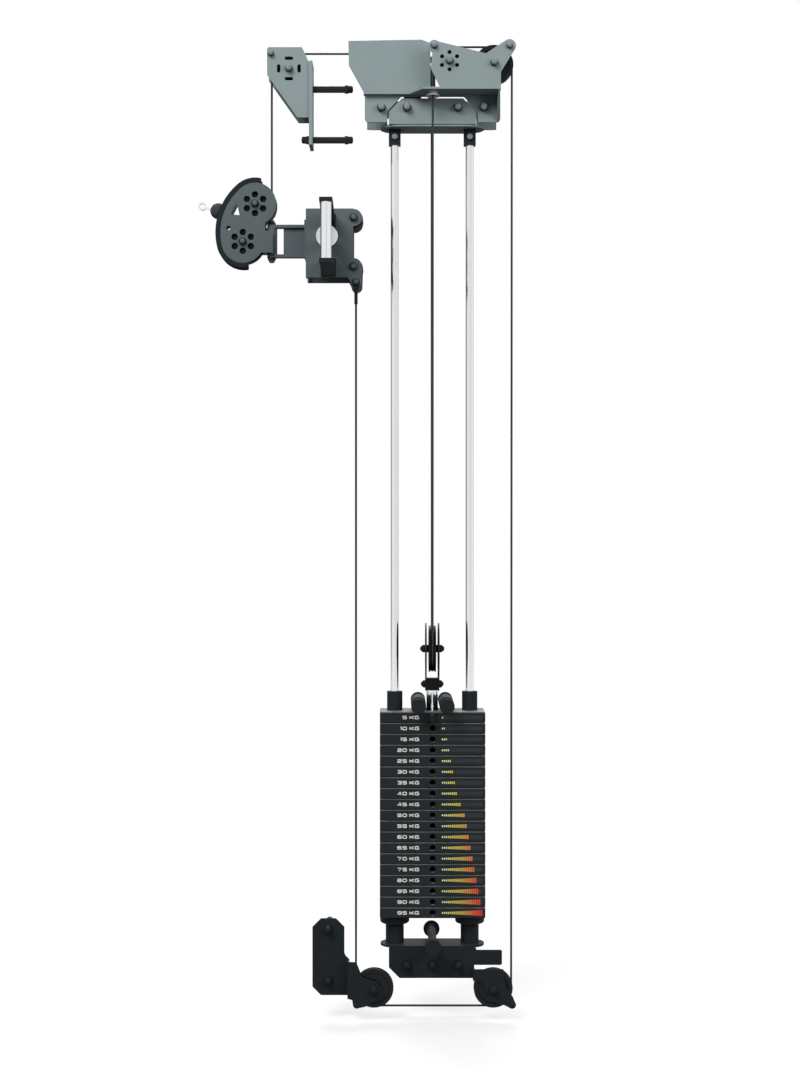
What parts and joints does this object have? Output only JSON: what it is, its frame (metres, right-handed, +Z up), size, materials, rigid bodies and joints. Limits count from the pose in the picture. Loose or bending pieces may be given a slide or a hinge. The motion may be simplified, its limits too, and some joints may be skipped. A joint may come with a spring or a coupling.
{
  "type": "cable pulley attachment",
  "caption": "Weight-stack cable tower that bolts to a square tube frame: guide rods, selector stack, cable over pulleys, sliding trolley and swivelling pulley head.",
  "frame": {"origin": "middle bolt of the lower cross tube, halfway between the two lower clamping plates", "axes": "+X towards the rear pulleys, +Y away from the trolley's handle, +Z up along the guide rods"},
  "size_m": [0.7484, 0.3105, 2.2632],
  "materials": {
    "bracket_grey": "satin grey-green powder coat",
    "slate_paint": "satin slate powder coat",
    "black_paint": "satin black powder coat",
    "weight_black": "satin black enamel with white figures and coloured bars",
    "chrome_steel": "polished",
    "bolt_steel": "dark zinc",
    "pulley_black": "gloss",
    "rubber_black": "matt",
    "cable_black": "nylon-coated steel cable",
    "guide_grey": "matt",
    "knob_black": "satin"
  },
  "bodies": {
    "frame": {"upper_outer_plate": "bracket_grey", "upper_outer_skirt": "bracket_grey", "upper_inner_skirt": "bracket_grey", "outer_pulley_plate": "bracket_grey", "inner_pulley_bracket": "black_paint", "cable_guides": "guide_grey", "rod_mount_side_plates": "bracket_grey", "upper_rod_plate": "bracket_grey", "rod_clamps": "black_paint", "guide_rods": "chrome_steel", "base_plate": "black_paint", "base_side_plates": "black_paint", "lower_pulley_ears": "black_paint", "base_posts": "black_paint", "rubber_bumpers": "rubber_black", "base_peg": "black_paint", "front_bottom_plate": "black_paint", "top_front_bracket": "bracket_grey", "mounting_bolts": "bolt_steel", "pulley_axles": "bolt_steel", "weight_plates": "weight_black", "cable_fixed": "cable_black", "cable_front_run": "cable_black", "cable_lower_run": "cable_black", "cable_rear_fall": "cable_black", "cable_front_fall": "cable_black"},
    "trolley": {"trolley_outer_plate": "slate_paint", "trolley_inner_plate": "slate_paint", "swivel_arms": "slate_paint", "trolley_bolts": "bolt_steel", "handle_bar": "chrome_steel", "handle_brackets": "black_paint", "cable_clevis": "black_paint"},
    "swivel_head": {"head_side_plates": "slate_paint", "guard_band": "black_paint", "head_hinge": "slate_paint", "head_bolts": "bolt_steel", "cable_in_head": "cable_black"},
    "pull_end": {"ball_stop": "rubber_black", "cable_end": "chrome_steel"},
    "lift": {"head_plate": "weight_black", "guide_collars": "black_paint", "selector_stem": "chrome_steel", "floating_bracket": "black_paint", "stack_pegs": "black_paint", "cable_on_float": "cable_black"},
    "turn_pulley": {"turn_pulley": "pulley_black"},
    "inner_pulley": {"inner_pulley": "pulley_black"},
    "outer_pulley": {"outer_pulley": "pulley_black"},
    "rear_top_pulley": {"rear_top_pulley": "pulley_black"},
    "rear_bottom_pulley": {"rear_bottom_pulley": "pulley_black"},
    "front_bottom_pulley": {"front_bottom_pulley": "pulley_black"},
    "top_front_pulley": {"top_front_pulley": "pulley_black"},
    "floating_pulley": {"floating_pulley": "pulley_black"},
    "head_upper_pulley": {"head_upper_pulley": "pulley_black"},
    "head_lower_pulley": {"head_lower_pulley": "pulley_black"},
    "trolley_roller_upper": {"trolley_roller_upper": "rubber_black"},
    "trolley_roller_lower": {"trolley_roller_lower": "rubber_black"},
    "pop_pin": {"pop_pin": "chrome_steel"},
    "selector_pin": {"selector_pin": "knob_black"}
  },
  "joints": [
    {"name": "trolley_slide", "type": "slide", "parent": "frame", "child": "trolley", "axis": [0, 0, 1], "range_m": [-1.45, 0.1], "deforming": ["cable_front_run", "cable_lower_run"]},
    {"name": "head_swivel", "type": "hinge", "parent": "trolley", "child": "swivel_head", "pos_m": [-0.38, 0, 1.7], "axis": [0, 0, 1], "range_deg": [-90, 90]},
    {"name": "pin_pull", "type": "slide", "parent": "trolley", "child": "pop_pin", "axis": [0, -1, 0], "range_m": [0, 0.025], "stiffness_N_per_m": 1200, "springref_m": -0.005},
    {"name": "stack_lift", "type": "slide", "parent": "frame", "child": "lift", "axis": [0, 0, 1], "range_m": [0, 1.1], "deforming": ["cable_rear_fall", "cable_front_fall"]},
    {"name": "cable_pull", "type": "slide", "parent": "swivel_head", "child": "pull_end", "axis": [-0.9598, 0, 0.2807], "range_m": [0, 2.2]},
    {"name": "selector_pull", "type": "slide", "parent": "lift", "child": "selector_pin", "axis": [0, -1, 0], "range_m": [0, 0.125]},
    {"name": "top_front_spin", "type": "hinge", "parent": "frame", "child": "top_front_pulley", "pos_m": [-0.3377, 0, 2.105], "axis": [0, 1, 0], "continuous": true},
    {"name": "turn_spin", "type": "hinge", "parent": "frame", "child": "turn_pulley", "pos_m": [-0.148, 0.0423, 2.1473], "axis": [0, 0, 1], "continuous": true},
    {"name": "inner_spin", "type": "hinge", "parent": "frame", "child": "inner_pulley", "pos_m": [-0.03735, 0.05323, 2.105], "axis": [-0.4695, 0.8829, 0], "continuous": true},
    {"name": "outer_spin", "type": "hinge", "parent": "frame", "child": "outer_pulley", "pos_m": [0.0382, -0.08, 2.104], "axis": [0, 1, 0], "continuous": true},
    {"name": "rear_top_spin", "type": "hinge", "parent": "frame", "child": "rear_top_pulley", "pos_m": [0.1415, -0.08, 2.0999], "axis": [0, 1, 0], "continuous": true},
    {"name": "rear_bottom_spin", "type": "hinge", "parent": "frame", "child": "rear_bottom_pulley", "pos_m": [0.1415, -0.052, -0.0515], "axis": [0, 1, 0], "continuous": true},
    {"name": "front_bottom_spin", "type": "hinge", "parent": "frame", "child": "front_bottom_pulley", "pos_m": [-0.137, -0.052, -0.0515], "axis": [0, 1, 0], "continuous": true},
    {"name": "floating_spin", "type": "hinge", "parent": "lift", "child": "floating_pulley", "pos_m": [0, 0, 0.7384], "axis": [1, 0, 0], "continuous": true},
    {"name": "head_upper_spin", "type": "hinge", "parent": "swivel_head", "child": "head_upper_pulley", "pos_m": [-0.4182, 0, 1.7886], "axis": [0, 1, 0], "continuous": true},
    {"name": "head_lower_spin", "type": "hinge", "parent": "swivel_head", "child": "head_lower_pulley", "pos_m": [-0.447, 0, 1.6996], "axis": [0, 1, 0], "continuous": true},
    {"name": "roller_upper_spin", "type": "hinge", "parent": "trolley", "child": "trolley_roller_upper", "pos_m": [-0.185, 0, 1.751], "axis": [0, 1, 0], "continuous": true},
    {"name": "roller_lower_spin", "type": "hinge", "parent": "trolley", "child": "trolley_roller_lower", "pos_m": [-0.185, 0, 1.636], "axis": [0, 1, 0], "continuous": true}
  ],
  "couplings": [
    {"joint": "cable_pull", "follows": "stack_lift", "ratio": 2},
    {"joint": "top_front_spin", "follows": "stack_lift", "rad_per_m": -47.281},
    {"joint": "turn_spin", "follows": "stack_lift", "rad_per_m": -47.281},
    {"joint": "inner_spin", "follows": "stack_lift", "rad_per_m": -47.281},
    {"joint": "head_upper_spin", "follows": "stack_lift", "rad_per_m": 52.356},
    {"joint": "floating_spin", "follows": "stack_lift", "rad_per_m": 19.231},
    {"joint": "outer_spin", "follows": "trolley_slide", "rad_per_m": 26.178},
    {"joint": "rear_top_spin", "follows": "trolley_slide", "rad_per_m": 23.641},
    {"joint": "rear_bottom_spin", "follows": "trolley_slide", "rad_per_m": 23.641},
    {"joint": "front_bottom_spin", "follows": "trolley_slide", "rad_per_m": 23.641},
    {"joint": "roller_upper_spin", "follows": "trolley_slide", "rad_per_m": -46.512},
    {"joint": "roller_lower_spin", "follows": "trolley_slide", "rad_per_m": -46.512}
  ]
}
